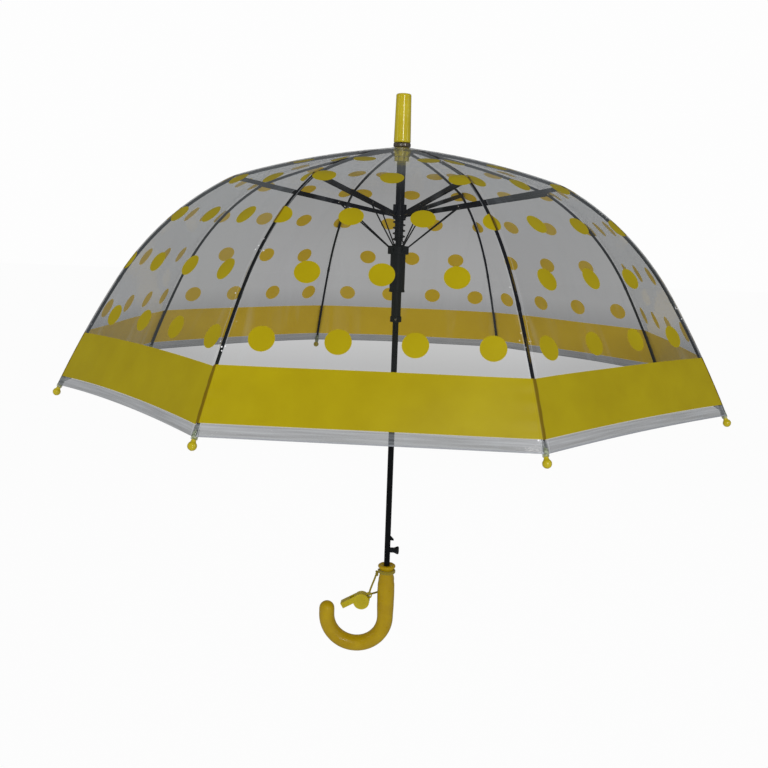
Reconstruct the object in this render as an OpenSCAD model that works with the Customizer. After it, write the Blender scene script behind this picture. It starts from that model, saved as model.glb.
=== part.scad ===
// Children's dome umbrella with automatic opening, shown open.
// Millimetres. Z runs up the shaft, and z = 0 lies just above the top of the handle.
// The hook of the handle points to -X and the push button to +X.
// One rib lies at 22.5 degrees from +X and the others follow every 45 degrees.

/* [Canopy] */
// Diameter of the ring through the eight rain tips
span = 740; // [700:10:780]
// Height of the rain tips above the handle
tip_z = 220; // [212:1:228]
// Thickness of the film
film_t = 0.4; // [0.3:0.1:0.6]
// Distance from a rain tip's ball to the hem, along the rib
hem_inset = 7; // [5:0.5:8]

/* [Ribs] */
// Diameter of the rib wire
rib_d = 3; // [2.4:0.1:3]
// Radius of the joint where a stretcher meets its rib
joint_r = 187; // [180:1:194]
// Height of that joint
joint_z = 447; // [445:0.5:449]
// Radius where the rib wire starts, beside the crown
crown_r = 14; // [12:0.5:16]
// Height of the rib wire there
crown_z = 486; // [485:0.5:487]
// Half of the turn that the upper rib makes along its length, in degrees
upper_half_turn = 5.7; // [4:0.1:7]
// Slope of the lower rib as it leaves the joint, in degrees below level
slope_joint = 27; // [24:1:30]
// Slope where the tight bend ends
slope_knee = 58; // [56:1:60]
// Slope at the rain tip
slope_tip = 65; // [64:1:68]
// Diameter of a rain tip's ball
tip_ball_d = 7.8; // [6:0.2:9]

/* [Folding gear] */
// Radius of the circles that the ribs and stretchers hinge on
pivot_r = 6.5; // [6.3:0.1:6.7]
// Height of the ribs' hinge circle in the top notch
notch_z = 479.5; // [479:0.1:480]
// Distance along a stretcher from the hub to the strut's rivet
strut_at = 66.8; // [60:0.2:72]
// Radius where the struts meet the runner
runner_pivot_r = 10.5; // [10:0.1:11]
// Height where the struts meet the runner
runner_pivot_z = 378; // [376:0.5:379]
// Depth of a stretcher's channel
channel_h = 4.2; // [3.6:0.1:4.4]

/* [Shaft] */
// Outer diameter of the shaft tube
shaft_d = 7; // [6.8:0.1:7]
// Wall of the shaft tube
shaft_wall = 0.6; // [0.5:0.1:0.8]
// Top of the shaft, inside the ferrule
shaft_top = 530; // [520:1:535]
// Depth of the shaft inside the handle
shaft_in_handle = 45; // [30:1:50]

/* [Ferrule] */
// Top of the ferrule
ferrule_top = 548; // [545:1:560]
// Bottom of the ferrule
ferrule_bottom = 495; // [494:0.5:496]
// Radius at the ferrule's foot
ferrule_r0 = 9.5; // [9:0.1:10]
// Radius at the ferrule's top
ferrule_r1 = 8.4; // [7:0.1:9]

/* [Handle] */
// Radius of the hook
grip_r = 9.7; // [9:0.1:9.8]
// Radius where the grip swells to fill the palm
palm_r = 10.4; // [9.8:0.1:10.4]
// Radius of the waist that holds the cord's loop
waist_r = 8.4; // [8:0.1:8.6]
// Radius of the collar at the handle's top
collar_r = 10.8; // [10.6:0.1:12]
// Height of the handle's top face
handle_top = -2.6; // [-3:0.1:-2]
// Radius of the hook's centre line
hook_r = 36; // [35:0.5:40]
// Depth of the hook's centre below z = 0
hook_depth = 70.5; // [68:0.5:75]
// Height of the hook's end above the hook's centre
hook_end = 16.5; // [14:0.5:17]

/* [Button and catch] */
// Height of the push button's centre
button_z = 16; // [15.6:0.1:16.1]
// Reach of the button from the shaft's axis
button_reach = 13.9; // [13:0.1:14.5]
// Height of the catch tooth's flat underside
catch_z = 28.5; // [28.2:0.1:29]
// Reach of the tooth from the shaft's axis
catch_reach = 7.3; // [6.8:0.1:7.4]

/* [Whistle] */
// Radius of the whistle's drum
drum_r = 9.8; // [9:0.1:10]
// Width of the whistle
whistle_w = 11; // [9:0.5:13]
// Place of the drum's centre
drum_x = -29.5; // [-30:0.5:-29]
// Height of the drum's centre
drum_z = -50.5; // [-51:0.5:-50]
// Diameter of the cord
cord_d = 2.4; // [1.8:0.1:2.4]

/* [Hidden] */
$fn = 48;
eps = 0.01;
ribs = 8;
function rib_az(i) = 22.5 + 45 * (i - 1);

yellow = "#E0B400";
black = "#23272B";
steel = "#9AA0A4";
film = [0.80, 0.81, 0.83, 0.45];

shaft_r = shaft_d / 2;
bore_r = shaft_r + 0.05;        // what slides on the shaft
tip_r = span / 2;
hub_z = 2 * joint_z - notch_z;  // equal links put the hub's circle as far below the joint as the notch is above
link_x = joint_r - pivot_r;
link_z = notch_z - joint_z;
link = norm([link_x, link_z]);  // length of a stretcher, and of an upper rib between its hinges
open_angle = atan2(link_z, link_x);

// Flat tabs, ears and rivets at the hinges; half widths are measured across the rib
tab_half = 0.8;
ear_in = 0.9;
ear_out = 1.5;
channel_in = 1.6;
channel_out = 2.2;
eye_r = 2;
eye_hole = 0.95;
rivet_r = 0.88;
wire_r = 0.6;                   // wire rings in the notch and the hub
wire_eye = 0.75;                // eyes that turn on those rings
wire_eye_r = 1.6;
slot_w = 2.2;
slot_r = 4.7;
hinge_gap = 2.8;                // the round wires stop this far from the joint

// ---- Rib outline: three arcs in the plane of radius and height ----
// A point on an arc that bends downwards, at slope a below level
function on_arc(c, r, a) = c + r * [sin(a), cos(a)];
function arc_centre(p, r, a) = p - r * [sin(a), cos(a)];

upper_chord = [joint_r - crown_r, crown_z - joint_z];
upper_mean = atan2(upper_chord.y, upper_chord.x);
upper_a0 = upper_mean - upper_half_turn;
upper_a1 = upper_mean + upper_half_turn;
upper_R = norm(upper_chord) / 2 / sin(upper_half_turn);
upper_C = arc_centre([crown_r, crown_z], upper_R, upper_a0);

// The two lower arcs meet at the knee; their chords add up to the way from the joint to the tip
knee_mean = (slope_joint + slope_knee) / 2;
tail_mean = (slope_knee + slope_tip) / 2;
drop = [tip_r - joint_r, joint_z - tip_z];
det = cos(knee_mean) * sin(tail_mean) - cos(tail_mean) * sin(knee_mean);
knee_chord = (drop.x * sin(tail_mean) - drop.y * cos(tail_mean)) / det;
tail_chord = (drop.y * cos(knee_mean) - drop.x * sin(knee_mean)) / det;
knee_R = knee_chord / 2 / sin((slope_knee - slope_joint) / 2);
tail_R = tail_chord / 2 / sin((slope_tip - slope_knee) / 2);
knee_C = arc_centre([joint_r, joint_z], knee_R, slope_joint);
knee_P = on_arc(knee_C, knee_R, slope_knee);
tail_C = arc_centre(knee_P, tail_R, slope_knee);
degrees_per_mm = 180 / PI;
function turn(length, r) = length / r * degrees_per_mm;

// ---- Shared shapes ----
module at_rib(i) { rotate([0, 0, rib_az(i)]) children(); }

// A pin, eye or disc lying across the rib
module across(x, z, r, half) {
    translate([x, 0, z]) rotate([90, 0, 0]) cylinder(r = r, h = 2 * half, center = true);
}

// Two discs, one each side of the rib
module pair_across(x, z, r, from, to) {
    for (side = [-1, 1])
        translate([x, side * (from + to) / 2, z]) rotate([90, 0, 0]) cylinder(r = r, h = to - from, center = true);
}

// A round wire along an arc of the rib outline, from slope a to slope b
module arc_wire(c, r, a, b, d) {
    translate([c.x, 0, c.y]) rotate([90, 0, 0]) rotate([0, 0, 90 - b])
        rotate_extrude(angle = b - a, $fn = 96) translate([r, 0]) circle(d = d);
}

// A flat bar from p towards slope a below level
module flat_bar(p, a, from, to, half, h) {
    translate([p.x, 0, p.y]) rotate([0, a, 0])
        translate([from, -half, -h / 2]) cube([to - from, 2 * half, h]);
}

module ring_bar(r, d, z) { translate([0, 0, z]) rotate_extrude() translate([r, 0]) circle(d = d, $fn = 24); }

module eight_slots(w, r0, z0, z1) {
    for (i = [1:ribs]) at_rib(i) translate([r0, -w / 2, z0]) cube([20, w, z1 - z0]);
}

// ---- Shaft and what is fixed to it ----
catch_h = 6.6;
catch_w = 3;
tongue_h = 5.6;
tongue_w = 3;
slot_play = 0.3;

module shaft() {
    color(black) difference() {
        translate([0, 0, -shaft_in_handle]) cylinder(r = shaft_r, h = shaft_top + shaft_in_handle);
        translate([0, 0, -shaft_in_handle - 1]) cylinder(r = shaft_r - shaft_wall, h = shaft_top + shaft_in_handle + 2);
        translate([0, -catch_w / 2 - slot_play, catch_z - slot_play])
            cube([shaft_r + 1, catch_w + 2 * slot_play, catch_h + 2 * slot_play]);
        translate([0, -tongue_w / 2 - slot_play, button_z - tongue_h / 2 - slot_play])
            cube([shaft_r + 1, tongue_w + 2 * slot_play, tongue_h + 2 * slot_play]);
    }
}

module ferrule() {
    color(yellow) difference() {
        rotate_extrude() polygon([
            [0, ferrule_bottom], [ferrule_r0 - 0.6, ferrule_bottom], [ferrule_r0, ferrule_bottom + 0.8],
            [ferrule_r1, ferrule_top - 1.4], [ferrule_r1 - 0.5, ferrule_top - 0.4], [ferrule_r1 - 1.6, ferrule_top],
            [0, ferrule_top]
        ]);
        translate([0, 0, ferrule_bottom - 1]) cylinder(r = shaft_r, h = shaft_top - ferrule_bottom + 1);
    }
}

notch_top = 489.5;
notch_bottom = 475;
notch_r = 8.25;
crown_gap = film_t + 0.1;       // room for the film between notch and washer

module ferrule_washer() {
    z0 = notch_top + crown_gap;
    color("#D8D8CC") rotate_extrude() polygon([
        [shaft_r, z0], [9.2, z0], [9.8, z0 + 0.8], [9.8, ferrule_bottom - 0.8], [9.2, ferrule_bottom],
        [shaft_r, ferrule_bottom]
    ]);
}

module slotted_crown(r, z0, z1, wire_z, slot_z0, slot_z1, bore) {
    difference() {
        translate([0, 0, z0]) cylinder(r = r, h = z1 - z0);
        translate([0, 0, z0 - 1]) cylinder(r = bore, h = z1 - z0 + 2);
        eight_slots(slot_w, slot_r, slot_z0, slot_z1);
        ring_bar(pivot_r, 2 * wire_r + 0.04, wire_z);
        translate([0, 0, wire_z]) rotate_extrude()
            translate([pivot_r, -wire_r - 0.02]) square([4, 2 * wire_r + 0.04]);
    }
}

module top_notch() {
    color(yellow) slotted_crown(notch_r, notch_bottom, notch_top, notch_z, notch_bottom - 1, 487.2, shaft_r);
}

module notch_wire() { color(steel) ring_bar(pivot_r, 2 * wire_r, notch_z); }

hub_top = hub_z + 12.5;
hub_flange = hub_z - 3;
hub_r = 7.65;
neck_bottom = hub_z - 28.5;
neck_r = 4.85;

module stop_sleeve() {
    color(black) difference() {
        translate([0, 0, hub_top + 0.3]) cylinder(r = 5, h = notch_bottom - hub_top - 0.3);
        translate([0, 0, hub_top]) cylinder(r = shaft_r, h = 60);
    }
}

// ---- Film ----
film_in = 2.4;                  // film's inner face stands this far outside the rib's centre line
function film_line(off) = concat(
    [for (a = [upper_a0:(upper_a1 - upper_a0) / 8:upper_a1 + eps]) on_arc(upper_C, upper_R + off, a)],
    [for (a = [slope_joint:(slope_knee - slope_joint) / 10:slope_knee + eps]) on_arc(knee_C, knee_R + off, a)],
    [for (k = [1:6]) on_arc(tail_C, tail_R + off,
        slope_knee + (slope_tip - slope_knee - turn(hem_inset, tail_R)) * k / 6)]
);
function reversed(v) = [for (i = [len(v) - 1:-1:0]) v[i]];

module canopy() {
    z0 = notch_top + 0.05;
    outline = concat(
        [[4.2, z0 + film_t], [9.2, z0 + film_t]], film_line(film_in + film_t),
        reversed(film_line(film_in)), [[9, z0], [4.2, z0]]
    );
    color(film) rotate([0, 0, 22.5]) rotate_extrude($fn = 8) polygon(outline);
}

// ---- Ribs, rain tips ----
module rib_upper(i) {
    crank = [crown_r - pivot_r, crown_z - notch_z];
    color(black) at_rib(i) difference() {
        union() {
            across(pivot_r, notch_z, wire_eye_r, tab_half);
            flat_bar([pivot_r, notch_z], -atan2(crank.y, crank.x), 0, norm(crank), tab_half, 2.4);
            across(crown_r, crown_z, rib_d / 2, tab_half);
            arc_wire(upper_C, upper_R, upper_a0, upper_a1 - turn(hinge_gap, upper_R), rib_d);
            flat_bar([joint_r, joint_z], upper_a1, -hinge_gap - 2, 0, tab_half, 2.6);
            across(joint_r, joint_z, eye_r, tab_half);
        }
        across(pivot_r, notch_z, wire_eye, 4);
        across(joint_r, joint_z, eye_hole, 4);
    }
}

module rib_lower(i) {
    wire_end = slope_tip - turn(tip_ball_d / 2, tail_R);
    color(black) at_rib(i) difference() {
        union() {
            pair_across(joint_r, joint_z, eye_r, ear_in, ear_out);
            for (side = [-1, 1]) translate([0, side * (ear_in + ear_out) / 2, 0])
                flat_bar([joint_r, joint_z], slope_joint, 0, hinge_gap + 3, (ear_out - ear_in) / 2, 2.4);
            arc_wire(knee_C, knee_R, slope_joint + turn(hinge_gap, knee_R), slope_knee - turn(1, knee_R), rib_d);
            arc_wire(tail_C, tail_R, slope_knee + turn(1, tail_R), wire_end, rib_d);
            // band that ties the film to the rib, where the two arcs meet
            translate([knee_P.x, 0, knee_P.y]) rotate([0, 90 + slope_knee, 0])
                cylinder(d = rib_d + 0.5, h = 6, center = true);
        }
        across(joint_r, joint_z, eye_hole, 4);
    }
}

module rib_tip(i) {
    neck_l = 9;
    // Angle of the tip's centre line: the rib's own slope half way along the neck
    slope = slope_tip - turn(neck_l / 2, tail_R);
    color(yellow) at_rib(i) difference() {
        translate([tip_r, 0, tip_z]) rotate([0, slope - 90, 0]) union() {
            sphere(d = tip_ball_d);
            cylinder(r = 2.1, h = neck_l);
        }
        arc_wire(tail_C, tail_R, slope_knee, slope_tip - turn(tip_ball_d / 2, tail_R), rib_d + 0.04);
    }
}

// ---- Stretchers and struts, each drawn along X from its own hinge ----
module rivet(x, r, reach, head_r) {
    across(x, 0, r, reach);
    pair_across(x, 0, head_r, channel_out + 0.02, reach);
}

web_top = 2.2;
channel_wall = channel_out - channel_in;
tab_end = 17;
channel_start = 13;
web_end = link - 7;
rivet_reach = 2.8;
strut_rivet_r = 0.7;

module stretcher_shape() {
    difference() {
        union() {
            // channel, open downwards
            difference() {
                translate([channel_start, -channel_out, web_top - channel_h])
                    cube([link - channel_start, 2 * channel_out, channel_h]);
                translate([channel_start - 1, -channel_in, web_top - channel_h - 1])
                    cube([link, 2 * channel_in, channel_h + 1 - channel_wall]);
                translate([web_end, -channel_out - 1, eye_r]) cube([20, 10, 5]);
                translate([web_end, -channel_in, -5]) cube([20, 2 * channel_in, 10]);
            }
            pair_across(link, 0, eye_r, channel_in, channel_out);
            // pressed-flat tab that enters the hub
            translate([0, -tab_half, -1.5]) cube([tab_end, 2 * tab_half, 3]);
            translate([channel_start, -tab_half, 0]) cube([tab_end - channel_start, 2 * tab_half, web_top]);
            for (side = [-1, 1]) translate([channel_start, side * (tab_half + channel_in) / 2, 0])
                translate([0, -(channel_in - tab_half) / 2 - eps, -1.5])
                    cube([1.2, channel_in - tab_half + 2 * eps, 1.5 + web_top]);
            across(0, 0, wire_eye_r, tab_half);
        }
        across(0, 0, wire_eye, 4);
        across(link, 0, rivet_r + 0.02, 4);
        across(strut_at, 0, strut_rivet_r + 0.02, 4);
    }
    rivet(link, rivet_r, rivet_reach, 1.5);
    rivet(strut_at, strut_rivet_r, rivet_reach, 1.2);
}

module stretcher(i) {
    color(black) at_rib(i) translate([pivot_r, 0, hub_z]) rotate([0, -open_angle, 0]) stretcher_shape();
}

strut_top = [pivot_r + strut_at * cos(open_angle), hub_z + strut_at * sin(open_angle)];
strut_low = [runner_pivot_r, runner_pivot_z];
strut_l = norm(strut_top - strut_low);
strut_angle = atan2(strut_top.y - strut_low.y, strut_top.x - strut_low.x);

module strut(i) {
    color(black) at_rib(i) translate([strut_low.x, 0, strut_low.y]) rotate([0, -strut_angle, 0]) difference() {
        union() {
            across(0, 0, 1.5, tab_half);
            rotate([0, 90, 0]) cylinder(d = 1.6, h = strut_l);
            across(strut_l, 0, 1.45, tab_half);
        }
        across(0, 0, 0.7, 4);
        across(strut_l, 0, strut_rivet_r + 0.08, 4);
    }
}

// ---- Hub, spring, runner ----
module upper_hub() {
    color(black) {
        slotted_crown(hub_r, hub_flange, hub_top, hub_z, hub_flange - 1, hub_top + 1, bore_r);
        difference() {
            translate([0, 0, neck_bottom]) cylinder(r = neck_r, h = hub_flange - neck_bottom + 1);
            translate([0, 0, neck_bottom - 1]) cylinder(r = bore_r, h = 40);
            translate([0, 0, hub_flange]) eight_slots(slot_w, slot_r, -1, 5);
        }
    }
}

module hub_wire() { color(steel) ring_bar(pivot_r, 2 * wire_r, hub_z); }

runner_top = runner_pivot_z + 2.5;
flange_bottom = runner_top - 9.5;
body_bottom = flange_bottom - 43;
sleeve_bottom = body_bottom - 28.2;
ring_bottom = sleeve_bottom - 6.5;
flange_r = 12;
body_r = 8.65;
sleeve_r = 5.6;
ring_r = 6.7;
counterbore_r = 5;
counterbore_h = 20;
keyway_w = 3.6;
keyway_r = 7.8;

module runner() {
    h = runner_top - ring_bottom;
    color(black) difference() {
        rotate_extrude() polygon([
            [bore_r, ring_bottom], [ring_r - 0.5, ring_bottom], [ring_r, ring_bottom + 0.5],
            [ring_r, sleeve_bottom - 0.5], [ring_r - 0.5, sleeve_bottom], [sleeve_r, sleeve_bottom],
            [sleeve_r, body_bottom], [body_r + 0.4, body_bottom], [body_r + 0.4, body_bottom + 2],
            [body_r, body_bottom + 2.6], [body_r, flange_bottom], [flange_r - 0.6, flange_bottom],
            [flange_r, flange_bottom + 0.6], [flange_r, runner_top - 0.6], [flange_r - 0.6, runner_top],
            [counterbore_r, runner_top], [counterbore_r, runner_top - counterbore_h],
            [bore_r, runner_top - counterbore_h]
        ]);
        eight_slots(2, 8.9, runner_pivot_z - 3.4, runner_top + 1);
        translate([0, -keyway_w / 2, ring_bottom - 1]) cube([keyway_r, keyway_w, h + 2]);
        translate([0, 0, ring_bottom + 3.2]) rotate([90, 0, 0]) cylinder(r = 0.82, h = 10);
    }
}

module runner_pin() {
    color(steel) translate([0, 0, ring_bottom + 3.2]) rotate([90, 0, 0]) {
        translate([0, 0, bore_r + 0.3]) cylinder(r = 0.8, h = ring_r - bore_r);
        translate([0, 0, ring_r + 0.02]) cylinder(r = 1.2, h = 0.5);
    }
}

spring_wire = 1.3;
spring_r = 6.6;
spring_turns = 5.5;

// A round wire bent to a helix between two heights, as one closed solid
module helix(r, d, z0, z1, turns, per_turn, sides) {
    n = round(turns * per_turn);
    rise = atan2((z1 - z0) / turns, 2 * PI * r);
    points = [for (k = [0:n]) for (s = [0:sides - 1])
        let (a = 360 * turns * k / n, q = 360 * s / sides, u = d / 2 * cos(q), v = d / 2 * sin(q))
        [(r + u) * cos(a) + v * sin(rise) * sin(a), (r + u) * sin(a) - v * sin(rise) * cos(a),
         z0 + (z1 - z0) * k / n + v * cos(rise)]];
    faces = concat(
        [[for (s = [0:sides - 1]) s]],
        [for (k = [0:n - 1]) for (s = [0:sides - 1]) let (a = k * sides + s, b = k * sides + (s + 1) % sides)
            each [[a, a + sides, b + sides], [a, b + sides, b]]],
        [[for (s = [sides - 1:-1:0]) n * sides + s]]
    );
    polyhedron(points, faces);
}

module opening_spring() {
    gap = spring_wire / 2 + 0.1;
    color(black) helix(spring_r, spring_wire, runner_top + gap, hub_flange - gap, spring_turns, 16, 8);
}

// ---- Button and catch ----
leaf_x = 1.5;
leaf_t = 0.6;

module catch() {
    color(steel) {
        translate([leaf_x, -catch_w / 2, 6]) cube([leaf_t, catch_w, catch_z + catch_h - 6]);
        translate([0, catch_w / 2, 0]) rotate([90, 0, 0]) linear_extrude(catch_w) polygon([
            [leaf_x, catch_z], [catch_reach, catch_z], [catch_reach, catch_z + 1], [leaf_x + leaf_t, catch_z + catch_h],
            [leaf_x, catch_z + catch_h]
        ]);
    }
}

module button() {
    root = leaf_x + leaf_t + 0.3;
    head_x = shaft_r + 3.4;
    head_r = 4.8;
    color(black) translate([0, 0, button_z]) {
        translate([root, -tongue_w / 2, -tongue_h / 2]) cube([head_x - root + 1, tongue_w, tongue_h]);
        rotate([0, 90, 0]) rotate_extrude() polygon([
            [0, head_x], [2.8, head_x], [3.1, head_x + 1], [4.3, head_x + 3.8], [head_r, head_x + 5],
            [head_r, button_reach - 1], [head_r - 0.5, button_reach - 0.3], [3.4, button_reach], [0, button_reach]
        ]);
    }
}

// ---- Handle ----
module handle() {
    color(yellow) difference() {
        union() {
            rotate_extrude() polygon([
                [0, handle_top], [collar_r - 1.8, handle_top], [collar_r - 0.6, handle_top - 0.7],
                [collar_r, handle_top - 2], [collar_r - 0.4, handle_top - 3.4], [waist_r, handle_top - 6],
                [waist_r, -15.5],
                [(waist_r + palm_r) / 2, -22], [palm_r - 0.2, -29], [palm_r, -40], [palm_r - 0.2, -54],
                [grip_r, -hook_depth], [0, -hook_depth]
            ]);
            translate([-hook_r, 0, -hook_depth]) rotate([90, 0, 0]) rotate([0, 0, 180])
                rotate_extrude(angle = 180, $fn = 96) translate([hook_r, 0]) circle(r = grip_r);
            translate([-2 * hook_r, 0, -hook_depth]) cylinder(r = grip_r, h = hook_end - grip_r);
            translate([-2 * hook_r, 0, -hook_depth + hook_end - grip_r]) sphere(r = grip_r);
        }
        translate([0, 0, -shaft_in_handle]) cylinder(r = shaft_r, h = shaft_in_handle + 1);
    }
}

// ---- Whistle on its cord ----
knot = [-11.5, -2.4, -13.6];
knot_r = 2.2;
loop_r = waist_r + cord_d / 2 + 0.1;
lug = [9, 7];                   // eye of the whistle's lug, from the drum's centre

module neck_loop() {
    color(yellow) {
        ring_bar(loop_r, cord_d, knot.z + 3.1);
        translate(knot) sphere(r = knot_r);
    }
}

module whistle() {
    wall = 1.4;
    mouth_l = 24;
    mouth_h = 7;
    mouth_tilt = 30;
    mouth_top = drum_r - 0.3;
    inner_w = whistle_w - 2 * wall;
    color(yellow) translate([drum_x, 0, drum_z]) rotate([90, 0, 0]) difference() {
        union() {
            linear_extrude(whistle_w, center = true) {
                circle(r = drum_r, $fn = 96);
                rotate(mouth_tilt) translate([-mouth_l, mouth_top - mouth_h]) square([mouth_l, mouth_h]);
            }
            linear_extrude(3, center = true) translate(lug) circle(r = 3.7);
        }
        // round chamber, air way and the window above the chamber
        linear_extrude(inner_w, center = true) {
            circle(r = drum_r - wall, $fn = 96);
            rotate(mouth_tilt) translate([-mouth_l - 1, mouth_top - mouth_h + 3]) square([mouth_l - 8, 2]);
            rotate(mouth_tilt) translate([-11, 3]) square([6, 10]);
        }
        linear_extrude(10, center = true) translate(lug) circle(r = 2.2);
    }
}

module whistle_pea() {
    pea_r = 3;
    color("#C8A878") translate([drum_x, 0, drum_z - drum_r + 1.4 + pea_r + 0.1]) sphere(r = pea_r);
}

// The cord hangs from the knot, passes through the whistle's lug and goes round behind the grip to the neck loop
cord_route = [
    [-12.6, -3, -15.8], [-14.1, -4, -20.8], [-16.4, -4.8, -27], [-18.7, -5.4, -34], [-20, -5.1, -39.4],
    [-20.4, -3.5, -42.4], [-20.5, -0.6, -43.5], [-20.4, 2, -43.6], [-19.2, 4.6, -43.9], [-16.4, 7.1, -44],
    [-12.2, 9.3, -43.3], [-7.5, 11, -42], [-2, 12, -39.5], [3.2, 12, -35.5], [7, 10.6, -30], [8, 9.9, -24],
    [6.2, 9.8, -18], [3, 10.3, -13.2]
];

// A round tube swept along a list of points
module tube(route, d, sides) {
    n = len(route);
    function unit(v) = v / norm(v);
    points = [for (k = [0:n - 1]) let (
            t = unit(route[min(k + 1, n - 1)] - route[max(k - 1, 0)]),
            u = unit(cross(t, [0.3, 1, 0.2])), v = cross(t, u))
        for (s = [0:sides - 1]) route[k] + d / 2 * (cos(360 * s / sides) * u + sin(360 * s / sides) * v)];
    faces = concat(
        [[for (s = [0:sides - 1]) s]],
        [for (k = [0:n - 2]) for (s = [0:sides - 1]) let (a = k * sides + s, b = k * sides + (s + 1) % sides)
            each [[a, a + sides, b + sides], [a, b + sides, b]]],
        [[for (s = [sides - 1:-1:0]) (n - 1) * sides + s]]
    );
    polyhedron(points, faces);
}

module whistle_cord() { color(yellow) tube(cord_route, cord_d, 8); }

shaft();
ferrule();
ferrule_washer();
canopy();
top_notch();
notch_wire();
stop_sleeve();
for (i = [1:ribs]) {
    rib_upper(i);
    rib_lower(i);
    rib_tip(i);
    stretcher(i);
    strut(i);
}
upper_hub();
hub_wire();
opening_spring();
runner();
runner_pin();
button();
catch();
handle();
neck_loop();
whistle();
whistle_pea();
whistle_cord();
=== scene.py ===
# Children's clear dome umbrella with a yellow band and dots and automatic opening, shown open.
# Metres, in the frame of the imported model: Z runs up the shaft, the hook points to -X and the button to +X.
from math import atan2, cos, exp, hypot, pi, radians, sin

import bpy
from mathutils import Matrix, Vector


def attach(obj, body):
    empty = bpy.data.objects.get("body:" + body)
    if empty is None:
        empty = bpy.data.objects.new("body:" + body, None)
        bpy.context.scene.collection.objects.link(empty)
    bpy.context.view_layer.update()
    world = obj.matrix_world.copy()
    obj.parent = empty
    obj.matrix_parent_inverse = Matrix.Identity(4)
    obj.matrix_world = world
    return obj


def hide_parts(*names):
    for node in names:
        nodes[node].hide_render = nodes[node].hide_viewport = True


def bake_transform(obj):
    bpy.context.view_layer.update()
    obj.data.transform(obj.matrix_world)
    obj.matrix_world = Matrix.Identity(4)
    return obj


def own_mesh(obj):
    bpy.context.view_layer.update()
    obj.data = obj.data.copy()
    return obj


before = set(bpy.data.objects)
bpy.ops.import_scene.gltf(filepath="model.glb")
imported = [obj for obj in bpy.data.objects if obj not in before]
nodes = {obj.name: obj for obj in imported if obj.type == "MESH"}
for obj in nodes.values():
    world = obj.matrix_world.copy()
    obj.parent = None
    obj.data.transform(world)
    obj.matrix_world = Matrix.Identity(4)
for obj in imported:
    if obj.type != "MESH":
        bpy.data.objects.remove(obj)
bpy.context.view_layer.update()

mm = 0.001

# ---- View ----
# A camera a metre away, a little above the hem, looking at the middle of the ring of rain tips.
# It leans two degrees, as a hand-held product shot does.
ring_height = 220 * mm
view_azimuth, view_elevation, view_lean = radians(-3.076), radians(9.596), radians(2.092)
view_distance = 1.0396
ahead = Vector((
    sin(view_azimuth) * cos(view_elevation), cos(view_azimuth) * cos(view_elevation), -sin(view_elevation)
))
level = Vector((cos(view_azimuth), -sin(view_azimuth), 0))
upright = level.cross(ahead)
right = level * cos(view_lean) + upright * sin(view_lean)
top = upright * cos(view_lean) - level * sin(view_lean)
camera = bpy.data.objects.new("camera", bpy.data.cameras.new("camera"))
camera.data.lens, camera.data.sensor_width = 41.47, 36
camera.data.shift_x, camera.data.shift_y = -0.01223, 0.0001
camera.data.clip_start, camera.data.clip_end = 0.01, 60
turned = Matrix((right, top, -ahead)).transposed().to_4x4()
camera.matrix_world = Matrix.Translation(Vector((0, 0, ring_height)) - ahead * view_distance) @ turned
bpy.context.collection.objects.link(camera)
bpy.context.scene.camera = camera
bpy.context.scene.view_settings.view_transform = "Standard"
bpy.context.scene.view_settings.look = "None"


# ---- Studio ----
# A white surround, bright to the camera and dim to everything else, over a dark floor that glows by kind of ray.
# Three soft lamps stay out of reflections; three narrow strip lamps draw the bright streaks on the round parts.
def linear(colour):
    """The linear value of a colour written as sRGB hex."""
    parts = [int(colour[i:i + 2], 16) / 255 for i in (1, 3, 5)]
    return tuple(c / 12.92 if c <= 0.04045 else ((c + 0.055) / 1.055) ** 2.4 for c in parts) + (1,)


def node(tree, kind, inputs=None, **settings):
    """Adds a node with its settings; an input is a value, or another node's output to link."""
    made = tree.nodes.new("ShaderNode" + kind)
    for name, value in settings.items():
        setattr(made, name, value)
    for name, value in (inputs or {}).items():
        if isinstance(value, bpy.types.NodeSocket):
            tree.links.new(value, made.inputs[name])
        else:
            made.inputs[name].default_value = value
    return made


def two_tone(tree, value, low, deep, high, bright):
    """A colour that goes from deep to bright as a value goes from low to high."""
    ramp = node(tree, "ValToRGB", {"Fac": value})
    for stop, place, colour in zip(ramp.color_ramp.elements, (low, high), (deep, bright)):
        stop.position, stop.color = place, linear(colour)
    return ramp.outputs["Color"]


def finish(name):
    """A new material with one Principled surface: the material, its tree and the surface node."""
    made = bpy.data.materials.new(name)
    made.use_nodes = True
    return made, made.node_tree, made.node_tree.nodes["Principled BSDF"]


world = bpy.data.worlds.new("white_room")
bpy.context.scene.world = world
world.use_nodes = True
tree = world.node_tree
tree.nodes.clear()
seen = node(tree, "Background", {"Color": linear("#FFFFFF"), "Strength": 0.985})
cast = node(tree, "Background", {"Color": linear("#F8F8FC"), "Strength": 0.32})
mirrored = node(tree, "Background", {"Color": linear("#F8F8FC"), "Strength": 0.14})
ray = node(tree, "LightPath")
both = node(tree, "MixShader", {0: ray.outputs["Is Glossy Ray"], 1: cast.outputs[0], 2: mirrored.outputs[0]})
both = node(tree, "MixShader", {0: ray.outputs["Is Camera Ray"], 1: both.outputs[0], 2: seen.outputs[0]})
node(tree, "OutputWorld", {"Surface": both.outputs[0]})

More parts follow.
